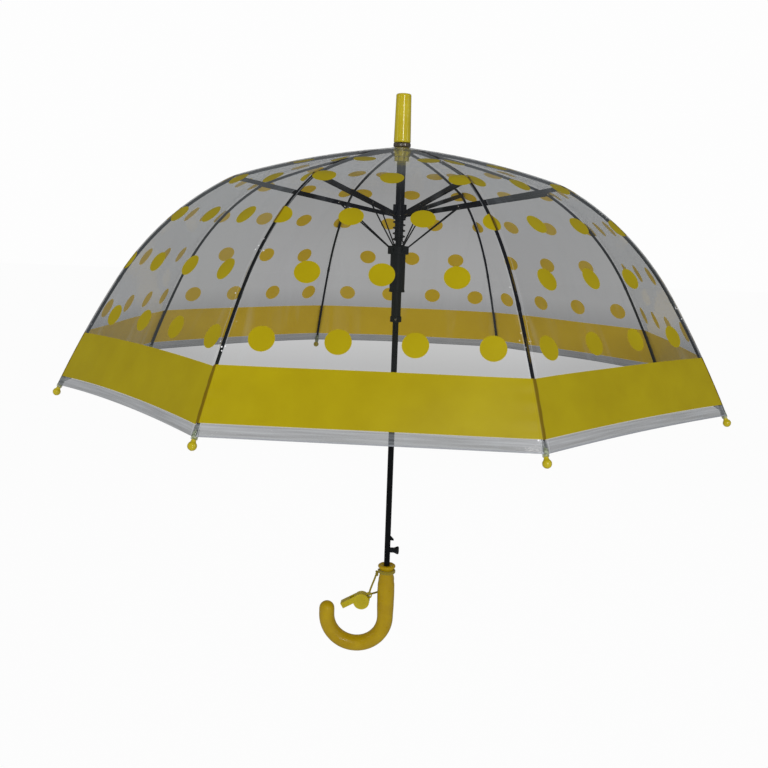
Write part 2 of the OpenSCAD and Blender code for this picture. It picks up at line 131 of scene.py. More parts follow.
floor_level, floor_reach = -0.62, 20
floor_mesh = bpy.data.meshes.new("floor")
corners = ((-1, -1), (1, -1), (1, 1), (-1, 1))
floor_mesh.from_pydata(
    [(x * floor_reach, y * floor_reach, floor_level) for x, y in corners], [], [(0, 1, 2, 3)]
)
floor = bpy.data.objects.new("floor", floor_mesh)
bpy.context.collection.objects.link(floor)
white_floor, tree, surface = finish("white_studio_floor")
surface.inputs["Base Color"].default_value = linear("#1C1C1C")
surface.inputs["Roughness"].default_value = 1.0
surface.inputs["Specular IOR Level"].default_value = 0.0
surface.inputs["Emission Color"].default_value = linear("#FFFFFF")
ray = node(tree, "LightPath")
glow = node(tree, "Math", {0: ray.outputs["Is Glossy Ray"], 1: -0.6, 2: 0.75}, operation="MULTIPLY_ADD")
glow = node(tree, "Math", {0: ray.outputs["Is Camera Ray"], 1: 0.22, 2: glow.outputs[0]}, operation="MULTIPLY_ADD")
tree.links.new(glow.outputs[0], surface.inputs["Emission Strength"])
floor_mesh.materials.append(white_floor)

lamp_target = Vector((0, 0, 0.3))
for name, place, size, power, in_reflections in (
    ("key", (-1.2, -2.4, 1.4), (1.1, 1.1), 30, False),
    ("fill", (2.2, -1.6, 0.7), (0.8, 1.4), 12, False),
    ("back", (0.3, 2.4, 1.2), (1.8, 1.0), 20, False),
    ("strip", (0.36, -1.5, 0.62), (0.13, 0.9), 5, True),
    ("left_strip", (-1.9, -0.7, 1.0), (0.12, 1.5), 1.2, True),
    ("right_strip", (1.9, -0.5, 1.0), (0.12, 1.5), 1.5, True),
):
    lamp = bpy.data.lights.new(name, "AREA")
    lamp.shape, lamp.size, lamp.size_y, lamp.energy = "RECTANGLE", size[0], size[1], power
    lamp_object = bpy.data.objects.new(name, lamp)
    lamp_object.location = place
    lamp_object.rotation_euler = (lamp_target - Vector(place)).to_track_quat("-Z", "Y").to_euler()
    lamp_object.visible_glossy = in_reflections
    bpy.context.collection.objects.link(lamp_object)


# ---- Whistle cord ----
# A thin twisted polyester cord, tied in a knot at the handle's neck. It hangs through the whistle's lug and goes
# round behind the grip, back up to the loop. Its three strands show as ridges that wind round it.
def smooth_line(points, step):
    """Points a step apart along a smooth curve through the given ones, with both ends kept."""
    points = [Vector(p) for p in points]
    padded = [2 * points[0] - points[1]] + points + [2 * points[-1] - points[-2]]
    fine = []
    for k in range(1, len(padded) - 2):
        a, b, c, d = padded[k - 1:k + 3]
        for j in range(24):
            t = j / 24
            fine.append(0.5 * (2 * b + (c - a) * t + (2 * a - 5 * b + 4 * c - d) * t * t
                               + (3 * b - a - 3 * c + d) * t ** 3))
    fine.append(points[-1])
    return evenly(fine, step)


def evenly(line, step):
    """The same line with its points the same distance apart, about a step."""
    along = [0.0]
    for a, b in zip(line, line[1:]):
        along.append(along[-1] + (b - a).length)
    count = max(2, round(along[-1] / step))
    result, k = [], 0
    for j in range(count + 1):
        want = along[-1] * j / count
        while k < len(line) - 2 and along[k + 1] < want:
            k += 1
        share = (want - along[k]) / max(along[k + 1] - along[k], 1e-12)
        result.append(line[k].lerp(line[k + 1], min(max(share, 0), 1)))
    return result


def frames(line):
    """At each point of a line: its direction and two directions across it that don't twist."""
    result, across = [], None
    for k in range(len(line)):
        along = (line[min(k + 1, len(line) - 1)] - line[max(k - 1, 0)]).normalized()
        if across is None:
            across = along.cross(Vector((0.31, 0.87, 0.38))).normalized()
        across = (across - along * across.dot(along)).normalized()
        result.append((along, across, along.cross(across)))
    return result


def new_piece(name, verts, faces, finishes):
    """A mesh object with its materials, shaded smooth."""
    mesh = bpy.data.meshes.new(name)
    mesh.from_pydata([tuple(v) for v in verts], [], faces)
    mesh.validate()
    for one in finishes:
        mesh.materials.append(one)
    mesh.shade_smooth()
    made = bpy.data.objects.new(name, mesh)
    bpy.context.collection.objects.link(made)
    return made


def loft(rings):
    """Vertices and faces of a skin through rings of the same number of points, closed at both ends."""
    n = len(rings[0])
    verts = [p for ring in rings for p in ring]
    faces = [
        (k * n + s, k * n + (s + 1) % n, (k + 1) * n + (s + 1) % n, (k + 1) * n + s)
        for k in range(len(rings) - 1) for s in range(n)
    ]
    faces += [tuple(range(n - 1, -1, -1)), tuple(range((len(rings) - 1) * n, len(rings) * n))]
    return verts, faces


def twisted_cord(line, radius, sides=18, strands=3, lay=7 * mm, depth=0.13):
    """Rings of a cord of a few strands that wind round each other once in each lay length."""
    rings, gone = [], 0.0
    for k, (along, u, v) in enumerate(frames(line)):
        if k:
            gone += (line[k] - line[k - 1]).length
        ring = []
        for s in range(sides):
            a = 2 * pi * s / sides
            swell = abs(cos(strands / 2 * (a - 2 * pi * gone / lay)))
            ring.append(line[k] + (u * cos(a) + v * sin(a)) * radius * (1 - depth + depth * swell))
        rings.append(ring)
    return rings


cord_stuff, tree, surface = finish("twisted_polyester_cord")
where = node(tree, "TexCoord")
fibre = node(tree, "TexNoise", {"Vector": where.outputs["Object"], "Scale": 2600, "Detail": 3})
shade = two_tone(tree, fibre.outputs["Fac"], 0.3, "#6A5C00", 0.75, "#A09008")
tree.links.new(shade, surface.inputs["Base Color"])
surface.inputs["Roughness"].default_value = 0.72
surface.inputs["Sheen Weight"].default_value = 0.25
fuzz = node(tree, "Bump", {"Height": fibre.outputs["Fac"], "Strength": 0.35, "Distance": 0.15 * mm})
tree.links.new(fuzz.outputs["Normal"], surface.inputs["Normal"])

cord_d = 2.4 * mm
cord_route = [
    (-12.6, -3, -15.8), (-14.1, -4, -20.8), (-16.4, -4.8, -27), (-18.7, -5.4, -34), (-20, -5.1, -39.4),
    (-20.4, -3.5, -42.4), (-20.5, -0.6, -43.5), (-20.4, 2, -43.6), (-19.2, 4.6, -43.9), (-16.4, 7.1, -44),
    (-12.2, 9.3, -43.3), (-7.5, 11, -42), (-2, 12, -39.5), (3.2, 12, -35.5), (7, 10.6, -30), (8, 9.9, -24),
    (6.2, 9.8, -18), (3, 10.3, -13.2),
]
cord_line = smooth_line([Vector(p) * mm for p in cord_route], 0.45 * mm)
whistle_cord = new_piece("whistle_cord_twisted", *loft(twisted_cord(cord_line, cord_d / 2)), [cord_stuff])
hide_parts("whistle_cord")
knot_place = Vector((-11.5, -2.4, -13.6)) * mm
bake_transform(whistle_cord)

# The loop of the same cord round the handle's neck, and its overhand knot.
loop_radius, loop_level, loop_rise = 9.6 * mm, -9.6 * mm, 3.0 * mm
loop_line = []
for k in range(181):
    a = 2 * pi * 2 * k / 180 + pi
    loop_line.append(Vector((loop_radius * cos(a), loop_radius * sin(a), loop_level - loop_rise * k / 180)))
neck_cord = new_piece("neck_cord_loop", *loft(twisted_cord(evenly(loop_line, 0.45 * mm), cord_d / 2)), [cord_stuff])
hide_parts("neck_loop")
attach(neck_cord, "root")

knot_line = []
for k in range(121):
    a = 2 * pi * k / 120
    knot_line.append(knot_place + Vector((
        0.9 * mm * sin(3 * a), (sin(a) + 2 * sin(2 * a)) * 0.72 * mm, (cos(a) - 2 * cos(2 * a)) * 0.95 * mm
    )))
knot = new_piece("cord_knot", *loft(twisted_cord(knot_line, 1.1 * mm)), [cord_stuff])
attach(knot, "root")


# ---- Handle ----
# A J hook moulded in yellow plastic, with a rounded rim where the shaft goes in, a waist for the
# loop, a grip that swells to fill the palm and a domed end. The mould's parting line shows as a fine raised seam.
def moulded_plastic(name, deep, bright, roughness, grain, coat=0.0):
    """Injection moulded plastic: a slight cloudiness of colour, fine orange peel, and patches rubbed by hands."""
    made, tree, surface = finish(name)
    where = node(tree, "TexCoord")
    cloud = node(tree, "TexNoise", {"Vector": where.outputs["Object"], "Scale": 45, "Detail": 3, "Roughness": 0.6})
    shade = two_tone(tree, cloud.outputs["Fac"], 0.35, deep, 0.65, bright)
    tree.links.new(shade, surface.inputs["Base Color"])
    rub = node(tree, "TexNoise", {"Vector": where.outputs["Object"], "Scale": 160, "Detail": 4})
    rough = node(tree, "MapRange", {
        "Value": rub.outputs["Fac"], "From Min": 0.3, "From Max": 0.7, "To Min": roughness * 0.75,
        "To Max": roughness * 1.35,
    })
    tree.links.new(rough.outputs["Result"], surface.inputs["Roughness"])
    surface.inputs["IOR"].default_value = 1.5
    surface.inputs["Coat Weight"].default_value = coat
    surface.inputs["Coat Roughness"].default_value = 0.08
    peel = node(tree, "TexNoise", {"Vector": where.outputs["Object"], "Scale": 1 / grain, "Detail": 2})
    bump = node(tree, "Bump", {"Height": peel.outputs["Fac"], "Strength": 0.12, "Distance": 0.1 * mm})
    tree.links.new(bump.outputs["Normal"], surface.inputs["Normal"])
    return made


amber_pvc = moulded_plastic("amber_yellow_pvc", "#9F8200", "#AA8E00", 0.34, 1.6 * mm, coat=0.2)
amber_pvc.node_tree.nodes["Principled BSDF"].inputs["Specular IOR Level"].default_value = 0.3

hook_radius, hook_depth, hook_end = 36 * mm, 70.5 * mm, 16.5 * mm
handle_line = [Vector((0, 0, -hook_depth * k / 45)) for k in range(45)]
handle_line += [
    Vector((-hook_radius + hook_radius * cos(pi * k / 72), 0, -hook_depth - hook_radius * sin(pi * k / 72)))
    for k in range(73)
]
end_radius = 9.3 * mm
arm_end = hook_end - end_radius
handle_line += [Vector((-2 * hook_radius, 0, -hook_depth + arm_end * k / 5)) for k in range(1, 6)]
# In mm: how far along the handle, and the grip's radius there. The rim above it is drawn ring by ring, below.
handle_radii = [
    (0, 8.35), (9.6, 8.3), (15.5, 8.35), (22, 9.3), (29, 10.1), (40, 10.3), (54, 10.1), (71, 9.6), (140, 9.6),
    (170, 9.4), (190, 9.3),
]


def between(table, x):
    """The value at x of a table of (x, value) rows, eased between the rows."""
    for (x0, y0), (x1, y1) in zip(table, table[1:]):
        if x <= x1:
            t = min(max((x - x0) / (x1 - x0), 0), 1)
            return y0 + (y1 - y0) * t * t * (3 - 2 * t)
    return table[-1][1]


handle_line = evenly(handle_line, 1.2 * mm)
handle_sides = 72


def handle_ring(centre, along, radius, seam=0.0):
    """A ring round the handle; the seam lies in the plane of the hook, inside and outside."""
    inward = Vector((0, 1, 0)).cross(along).normalized()
    ring = []
    for s in range(handle_sides):
        a = 2 * pi * s / handle_sides
        ridge = seam if s % (handle_sides // 2) == 0 else 0.0
        ring.append(centre + (inward * cos(a) + Vector((0, 1, 0)) * sin(a)) * (radius + ridge))
    return ring


rings = []
for height, radius in (
    (-5, 3.65), (-3.9, 3.75), (-3.5, 4.4), (-3.5, 6.2), (-3.1, 7.0), (-2.7, 7.6), (-2.6, 8.4), (-2.8, 9.3),
    (-3.3, 10.0), (-3.9, 10.5), (-4.6, 10.65), (-5.3, 10.5), (-6.0, 10.1), (-6.8, 9.4), (-7.7, 8.75), (-8.7, 8.35),
):
    rings.append(handle_ring(Vector((0, 0, height * mm)), Vector((0, 0, -1)), radius * mm))
gone = 0.0
for k, (along, _, _) in enumerate(frames(handle_line)):
    if k:
        gone += (handle_line[k] - handle_line[k - 1]).length
    if gone > 9.7 * mm:
        rings.append(handle_ring(handle_line[k], along, between(handle_radii, gone / mm) * mm, 0.14 * mm))
for k in range(1, 13):
    a = pi / 2 * k / 12.01
    rings.append(handle_ring(
        handle_line[-1] + Vector((0, 0, end_radius * sin(a))), Vector((0, 0, 1)), end_radius * cos(a)
    ))
hook = new_piece("hook_handle", *loft(rings), [amber_pvc])
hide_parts("handle")
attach(hook, "root")

# ---- Shaft, stop sleeve ----
# A thin steel tube dipped in black lacquer, with two slots for the button's tongue and the catch. A black plastic
# sleeve near the top stops the hub.
def black_lacquer(name, deep, bright, roughness):
    """Stoved black lacquer on steel: near black with a soft gloss, slightly uneven, with fine dust in it."""
    made, tree, surface = finish(name)
    where = node(tree, "TexCoord")
    run = node(tree, "TexNoise", {"Vector": where.outputs["Object"], "Scale": 120, "Detail": 4})
    shade = two_tone(tree, run.outputs["Fac"], 0.35, deep, 0.7, bright)
    tree.links.new(shade, surface.inputs["Base Color"])
    rough = node(tree, "MapRange", {
        "Value": run.outputs["Fac"], "From Min": 0.3, "From Max": 0.7, "To Min": roughness * 0.8,
        "To Max": roughness * 1.3,
    })
    tree.links.new(rough.outputs["Result"], surface.inputs["Roughness"])
    surface.inputs["IOR"].default_value = 1.5
    surface.inputs["Specular IOR Level"].default_value = 0.22
    dust = node(tree, "TexNoise", {"Vector": where.outputs["Object"], "Scale": 1100, "Detail": 2})
    bump = node(tree, "Bump", {"Height": dust.outputs["Fac"], "Strength": 0.1, "Distance": 0.05 * mm})
    tree.links.new(bump.outputs["Normal"], surface.inputs["Normal"])
    return made


lacquer = black_lacquer("black_stoved_lacquer", "#06080A", "#0C0F12", 0.3)
black_plastic = moulded_plastic("black_moulded_nylon", "#0E1216", "#161B20", 0.38, 1.1 * mm)
black_plastic.node_tree.nodes["Principled BSDF"].inputs["Specular IOR Level"].default_value = 0.25


def coat(names, stuff):
    """CAD nodes keep their shape and take a material."""
    for name in names:
        slots = nodes[name].material_slots
        if not slots:
            nodes[name].data.materials.append(stuff)
        for one in slots:
            one.material = stuff


coat(["shaft"], lacquer)
coat(["stop_sleeve"], black_plastic)

# ---- Ferrule and washer ----
# The ferrule is a hard yellow plastic cap pressed on the shaft's top. Under it a fluted washer in smoky clear plastic
# clamps the film against the notch; its flutes catch the light.
glossy_yellow = moulded_plastic("glossy_yellow_styrene", "#B8A60A", "#C2B114", 0.2, 2.5 * mm, coat=0.9)


def lathe(profile, sides, flutes=0, depth=0.0):
    """A skin turned about Z from (radius, height) rows, closed on the axis at both ends."""
    rings = []
    for radius, height in profile:
        ring = []
        for s in range(sides):
            a = 2 * pi * s / sides
            r = radius - depth * (0.5 - 0.5 * cos(flutes * a)) * (radius > 5 * mm)
            ring.append(Vector((r * cos(a), r * sin(a), height)))
        rings.append(ring)
    return loft(rings)


ferrule_profile = [(3.6, 495.0), (8.7, 495.0), (9.25, 495.25), (9.5, 495.9), (9.48, 497.5)]
ferrule_profile += [(9.48 - 1.05 * k / 12, 497.5 + 48.2 * k / 12) for k in range(1, 13)]
ferrule_profile += [(8.3, 546.6), (8.0, 547.2), (7.5, 547.6), (6.4, 547.85), (4.5, 547.95), (2.0, 548), (0.3, 548)]
ferrule = new_piece("ferrule_cap", *lathe([(r * mm, z * mm) for r, z in ferrule_profile], 96), [glossy_yellow])
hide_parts("ferrule")
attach(ferrule, "root")

smoky, tree, surface = finish("smoky_clear_styrene")
where = node(tree, "TexCoord")
swirl = node(tree, "TexNoise", {"Vector": where.outputs["Object"], "Scale": 300, "Detail": 2})
shade = two_tone(tree, swirl.outputs["Fac"], 0.3, "#2A2218", 0.8, "#5C5240")
tree.links.new(shade, surface.inputs["Base Color"])
surface.inputs["Roughness"].default_value = 0.07
surface.inputs["IOR"].default_value = 1.59
surface.inputs["Coat Weight"].default_value = 1.0
washer_profile = [
    (3.7, 490.05), (9.0, 490.05), (9.6, 490.6), (9.75, 491.4), (9.75, 493.6), (9.5, 494.4), (8.9, 494.9), (3.7, 494.9),
]
washer = new_piece(
    "fluted_washer", *lathe([(r * mm, z * mm) for r, z in washer_profile], 144, flutes=18, depth=0.45 * mm), [smoky]
)
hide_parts("ferrule_washer")
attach(washer, "root")

# ---- Top notch, hub and their wires ----
# The notch is yellow plastic with eight slots for the ribs' ends, threaded on a steel wire. The hub below is black
# nylon and holds the stretchers the same way.
steel_wire, tree, surface = finish("drawn_steel_wire")
where = node(tree, "TexCoord")
draw = node(tree, "TexNoise", {"Vector": where.outputs["Object"], "Scale": 900, "Detail": 2})
rough = node(tree, "MapRange", {"Value": draw.outputs["Fac"], "To Min": 0.22, "To Max": 0.42})
tree.links.new(rough.outputs["Result"], surface.inputs["Roughness"])
surface.inputs["Base Color"].default_value = linear("#B4B6B4")
surface.inputs["Metallic"].default_value = 1.0
yellow_nylon = moulded_plastic("yellow_moulded_nylon", "#A99800", "#B5A50A", 0.3, 1.4 * mm, coat=0.3)
coat(["top_notch"], yellow_nylon)
coat(["upper_hub"], black_plastic)
coat(["notch_wire", "hub_wire"], steel_wire)

# ---- Ribs ----
# Each rib is a springy steel wire in black lacquer, in two lengths that hinge where the stretcher meets them. The
# CAD wires have the right shape; the film lies just outside them.
coat([f"rib_upper_{i}" for i in range(1, 9)] + [f"rib_lower_{i}" for i in range(1, 9)], lacquer)

# ---- Stretchers and struts ----
# Rolled U channels and thin wires in black lacquer. Their rivets have domed bright heads, two at each pin.
coat([f"stretcher_{i}" for i in range(1, 9)] + [f"strut_{i}" for i in range(1, 9)], lacquer)
pivot_r, notch_z = 6.5 * mm, 479.5 * mm
joint_r, joint_z = 187 * mm, 447 * mm
hub_z = 2 * joint_z - notch_z
link = hypot(joint_r - pivot_r, notch_z - joint_z)
open_angle = atan2(notch_z - joint_z, joint_r - pivot_r)
strut_at = 66.8 * mm


def rib_turn(i):
    """Turns what is drawn along X to rib i."""
    return Matrix.Rotation(radians(22.5 + 45 * (i - 1)), 4, "Z")


def dome(centre, side, radius, height, sides=20, steps=5):
    """Verts and faces of a low domed head on the +Y or -Y side of a point."""
    rings = []
    for k in range(steps + 1):
        a = pi / 2 * k / (steps + 0.02)
        rings.append([
            centre + Vector((
                radius * cos(a) * cos(2 * pi * s / sides), side * height * sin(a),
                radius * cos(a) * sin(2 * pi * s / sides) * -side,
            )) for s in range(sides)
        ])
    return loft(rings)


for i in range(1, 9):
    verts, faces = [], []
    for reach, radius in ((link, 1.55), (strut_at, 1.25)):
        at = Vector((pivot_r + reach * cos(open_angle), 0, hub_z + reach * sin(open_angle)))
        for side in (-1, 1):
            v, f = dome(at + Vector((0, side * 2.75 * mm, 0)), side, radius * mm, 0.55 * mm)
            faces += [tuple(x + len(verts) for x in one) for one in f]
            verts += [rib_turn(i) @ p for p in v]
    rivets = new_piece(f"rivet_heads_{i}", verts, faces, [steel_wire])
    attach(rivets, f"stretcher_{i}")

# ---- Opening spring ----
# A coarse coil of black spring steel between the runner and the hub, with its last turn at each end lying flat.
# It is nearly closed when the umbrella is folded.
runner_top, hub_flange = 380.5 * mm, 411.5 * mm
spring_line = []
spring_turns, coils_radius, wire = 5.5, 6.6 * mm, 1.3 * mm
low, high = runner_top + wire / 2 + 0.05 * mm, hub_flange - wire / 2 - 0.05 * mm
for k in range(int(spring_turns * 48) + 1):
    t = k / (spring_turns * 48)
    a = 2 * pi * spring_turns * t
    lift = min(max((t - 0.08) / 0.84, 0), 1)
    spring_line.append(Vector((coils_radius * cos(a), coils_radius * sin(a), low + (high - low) * lift)))
rings = []
for centre, (along, u, v) in zip(spring_line, frames(spring_line)):
    rings.append([centre + (u * cos(2 * pi * s / 14) + v * sin(2 * pi * s / 14)) * wire / 2 for s in range(14)])
spring_steel = black_lacquer("blackened_spring_steel", "#15181B", "#24292D", 0.26)
spring = new_piece("opening_coil", *loft(rings), [spring_steel])
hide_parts("opening_spring")
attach(spring, "runner")
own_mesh(spring)

# ---- Runner, button and catch ----
# The runner is one black nylon moulding; a bright steel pin crosses its end ring. The flared button and the sprung
# steel catch stick out of the shaft above the handle.
coat(["runner", "button"], black_plastic)
coat(["runner_pin"], steel_wire)
coat(["catch"], lacquer)


# ---- Film canopy ----
# Eight gores of thin clear soft PVC film, drawn as a skin with no thickness and welded along the ribs. Each rib
# carries the film on both sides as far as the middle of its gores, so the sheet is whole when it is open and gathers
# when it folds. A band and five rows of dots are screen printed in yellow; a clear margin is left at the hem.
half_gore = pi / 8
film_start = (9.2 * mm, 489.75 * mm)
film_lift = 2.6 * mm                 # the film's middle stands this far outside the rib's centre line
crown_at, tip_at = (14 * mm, 486 * mm), (370 * mm, 220 * mm)
slope_joint, slope_knee, slope_tip = radians(27), radians(58), radians(65)
hem_inset = 7 * mm


def arc(centre, radius, a0, a1, steps):
    """(radius, height) points along an arc that bends downwards, from slope a0 to a1 below level."""
    return [
        (centre[0] + radius * sin(a0 + (a1 - a0) * k / steps), centre[1] + radius * cos(a0 + (a1 - a0) * k / steps))
        for k in range(steps + 1)
    ]


def arc_through(start, end, a0, a1):
    """Centre and radius of the arc between two points, where it leaves with slope a0 and ends with a1."""
    radius = hypot(end[0] - start[0], end[1] - start[1]) / 2 / sin((a1 - a0) / 2)
    return (start[0] - radius * sin(a0), start[1] - radius * cos(a0)), radius


upper_mean = atan2(crown_at[1] - joint_z, joint_r - crown_at[0])
upper_bend = radians(5.7)
upper_a0, upper_a1 = upper_mean - upper_bend, upper_mean + upper_bend
upper_centre, upper_radius = arc_through(crown_at, (joint_r, joint_z), upper_a0, upper_a1)
knee_mean, tail_mean = (slope_joint + slope_knee) / 2, (slope_knee + slope_tip) / 2
out, down = tip_at[0] - joint_r, joint_z - tip_at[1]
det = cos(knee_mean) * sin(tail_mean) - cos(tail_mean) * sin(knee_mean)
knee_chord = (out * sin(tail_mean) - down * cos(tail_mean)) / det
knee_at = (joint_r + knee_chord * cos(knee_mean), joint_z - knee_chord * sin(knee_mean))
knee_centre, knee_radius = arc_through((joint_r, joint_z), knee_at, slope_joint, slope_knee)
tail_centre, tail_radius = arc_through(knee_at, tip_at, slope_knee, slope_tip)
outline = [film_start]
outline += arc(upper_centre, upper_radius + film_lift, upper_a0, upper_a1, 60)
outline += arc(knee_centre, knee_radius + film_lift, slope_joint, slope_knee, 50)
outline += arc(tail_centre, tail_radius + film_lift, slope_knee, slope_tip - hem_inset / tail_radius, 40)[1:]
outline = evenly([Vector((r, z, 0)) for r, z in outline], 4 * mm)
for _ in range(4):                   # the film is too stiff to crease where the rib's two lengths meet
    outline = [outline[0]] + [
        (outline[k - 1] + 2 * outline[k] + outline[k + 1]) / 4 for k in range(1, len(outline) - 1)
    ] + [outline[-1]]
profile = [(p.x, p.y) for p in outline]
above_hem = [0.0]
for (r0, z0), (r1, z1) in zip(profile[::-1], profile[-2::-1]):
    above_hem.append(above_hem[-1] + hypot((r1 - r0) * cos(half_gore), z1 - z0))
above_hem = above_hem[::-1]
columns = [0, 0.012, 0.03, 0.06, 0.11, 0.18, 0.27, 0.38, 0.5, 0.62, 0.74, 0.86, 1]
columns = [-t for t in columns[:0:-1]] + columns


def pucker(gore, u, v, from_seam):
    """How far the film stands off its even surface: short puckers beside the welds and long soft waves."""
    tight = exp(-from_seam / (9 * mm)) * (1 - exp(-from_seam / (1.5 * mm)))
    short = 0.35 * mm * tight * sin(2 * pi * v / (17 * mm) + 1.7 * gore + 2.2 * sin(v / (40 * mm) + gore))
    edge = min(1.0, from_seam / (25 * mm))
    long = 0.5 * mm * edge * sin(2 * pi * v / (150 * mm) + 2.1 * gore) * cos(2 * pi * u / (190 * mm) + gore)
    return short + long


# In mm for each gore: how far the print is off the middle, how far it is raised, and how far the hem bows up
# between its two tips. Screens never sit quite true. The gores at the back are guessed.
gore_drift = [
    (1.1, 0, 2), (-0.8, 0, 2), (5.2, 0, 2), (1.6, 0, 2), (-1.2, 0, 2), (-12.9, -1.5, 4), (-1.4, 0, 0), (4.9, 0, 2),
]
bow_reach = 160 * mm


def film_panel(name, rib, first, last, stuff):
    """The film that one rib carries, between two rows of the outline."""
    verts, prints = [], []
    for k in range(first, last + 1):
        r, z = profile[k]
        r0, z0 = profile[max(k - 1, 0)]
        r1, z1 = profile[min(k + 1, len(profile) - 1)]
        slope = atan2(z0 - z1, r1 - r0)
        half_chord = r * sin(half_gore)
        for t in columns:
            side = 1 if t >= 0 else -1
            turn = side * half_gore      # the middle of the gore, from the rib
            gore = (rib + (0 if t >= 0 else -1)) % 8
            at_rib = Vector((r, 0, z))
            at_middle = Vector((r * cos(half_gore) * cos(turn), r * cos(half_gore) * sin(turn), z))
            from_seam = abs(t) * half_chord
            across = -side * (1 - abs(t)) * half_chord
            outward = Vector((sin(slope) * cos(turn), sin(slope) * sin(turn), cos(slope)))
            push = pucker(gore, across, above_hem[k], from_seam) if half_chord > 8 * mm else 0.0
            aside, raised, bow = gore_drift[gore]
            lift = bow * mm * (1 - (1 - abs(t)) ** 2) * max(0.0, 1 - above_hem[k] / bow_reach)
            uphill = Vector((-cos(slope) * cos(turn), -cos(slope) * sin(turn), sin(slope)))
            verts.append(at_rib.lerp(at_middle, abs(t)) + outward * push + uphill * lift)
            prints.append((across + aside * mm, above_hem[k] - raised * mm, from_seam))
    n = len(columns)
    faces = [
        (a, a + n, a + n + 1, a + 1)
        for k in range(last - first) for a in range(k * n, k * n + n - 1)
    ]
    spin = rib_turn(rib)
    made = new_piece(name, [spin @ p for p in verts], faces, [stuff])
    layer = made.data.attributes.new("print", "FLOAT_VECTOR", "POINT")
    layer.data.foreach_set("vector", [x for p in prints for x in p])
    return made


# The film is clear with a grey cast, so two layers of it look mid grey against white. Edge on, its colour is painted
# paler as a painted sheen.
# The screen print hides what is behind it; its inner side is painted paler and warmer than its outer side, painted
# light that stands for light coming through the ink.
film, tree, surface = finish("clear_pvc_film_with_yellow_print")
where = node(tree, "TexCoord")
cut = node(tree, "Attribute", attribute_name="print")
across, above, seam = node(tree, "SeparateXYZ", {"Vector": cut.outputs["Vector"]}).outputs[:3]
pitch, first_row, dot_radius = 63.7 * mm, 85.5 * mm, 11.4 * mm
row = node(tree, "Math", {0: above, 1: first_row}, operation="SUBTRACT").outputs[0]
row = node(tree, "Math", {0: row, 1: pitch}, operation="DIVIDE").outputs[0]
row = node(tree, "Math", {0: row}, operation="ROUND").outputs[0]
row = node(tree, "Math", {0: row, 1: 0.0}, operation="MAXIMUM").outputs[0]
row = node(tree, "Math", {0: row, 1: 4.0}, operation="MINIMUM").outputs[0]
row_height = node(tree, "Math", {0: row, 1: pitch, 2: first_row}, operation="MULTIPLY_ADD").outputs[0]
rise = node(tree, "Math", {0: above, 1: row_height}, operation="SUBTRACT").outputs[0]
odd = node(tree, "Math", {0: row, 1: 2.0}, operation="MODULO").outputs[0]
offset = node(tree, "Math", {0: odd, 1: -0.5, 2: 0.5}, operation="MULTIPLY_ADD").outputs[0]
column = node(tree, "Math", {0: across, 1: 1 / pitch, 2: offset}, operation="MULTIPLY_ADD").outputs[0]
nearest = node(tree, "Math", {0: column}, operation="ROUND").outputs[0]
aside = node(tree, "Math", {0: column, 1: nearest}, operation="SUBTRACT").outputs[0]
aside = node(tree, "Math", {0: aside, 1: pitch}, operation="MULTIPLY").outputs[0]
reach = node(tree, "CombineXYZ", {"X": aside, "Y": rise})
reach = node(tree, "VectorMath", {0: reach.outputs[0]}, operation="LENGTH").outputs["Value"]
dots = node(tree, "MapRange", {
    "Value": reach, "From Min": dot_radius - 0.2 * mm, "From Max": dot_radius + 0.2 * mm, "To Min": 1.0, "To Max": 0.0,
}).outputs[0]
band_low, band_high, soft = 11.5 * mm, 61.5 * mm, 0.25 * mm
over = node(tree, "MapRange", {"Value": above, "From Min": band_low - soft, "From Max": band_low + soft}).outputs[0]
under = node(tree, "MapRange", {
    "Value": above, "From Min": band_high - soft, "From Max": band_high + soft, "To Min": 1.0, "To Max": 0.0,
}).outputs[0]
band = node(tree, "Math", {0: over, 1: under}, operation="MULTIPLY").outputs[0]
printed = node(tree, "Math", {0: dots, 1: band}, operation="MAXIMUM").outputs[0]

# Ink: a dense yellow, slightly uneven where the squeegee passed. Its inner side is painted paler as painted light, and
# a painted shadow darkens it over each rib
patchy = node(tree, "TexNoise", {"Vector": where.outputs["Object"], "Scale": 28, "Detail": 3}).outputs["Fac"]
outer_ink = two_tone(tree, patchy, 0.3, "#9B8A00", 0.7, "#A39302")
# Painted light: the ink's inner side is a paler, warmer copy, lit as if light came through it
inner_ink_painted_light = two_tone(tree, patchy, 0.3, "#E0BC10", 0.7, "#E6C31A")
inner_side = node(tree, "NewGeometry").outputs["Backfacing"]
ink = node(tree, "Mix", {
    0: inner_side, 6: outer_ink, 7: inner_ink_painted_light,
}, data_type="RGBA").outputs[2]
rib_shadow = node(tree, "MapRange", {
    "Value": seam, "From Min": 1.3 * mm, "From Max": 2.1 * mm, "To Min": 0.8, "To Max": 0.0,
}).outputs[0]
ink = node(tree, "Mix", {0: rib_shadow, 6: ink, 7: linear("#5A4200")}, data_type="RGBA").outputs[2]
cast_noise = node(tree, "TexNoise", {"Vector": where.outputs["Object"], "Scale": 9, "Detail": 2}).outputs["Fac"]
cast = two_tone(tree, cast_noise, 0.35, "#24252B", 0.65, "#282B26")
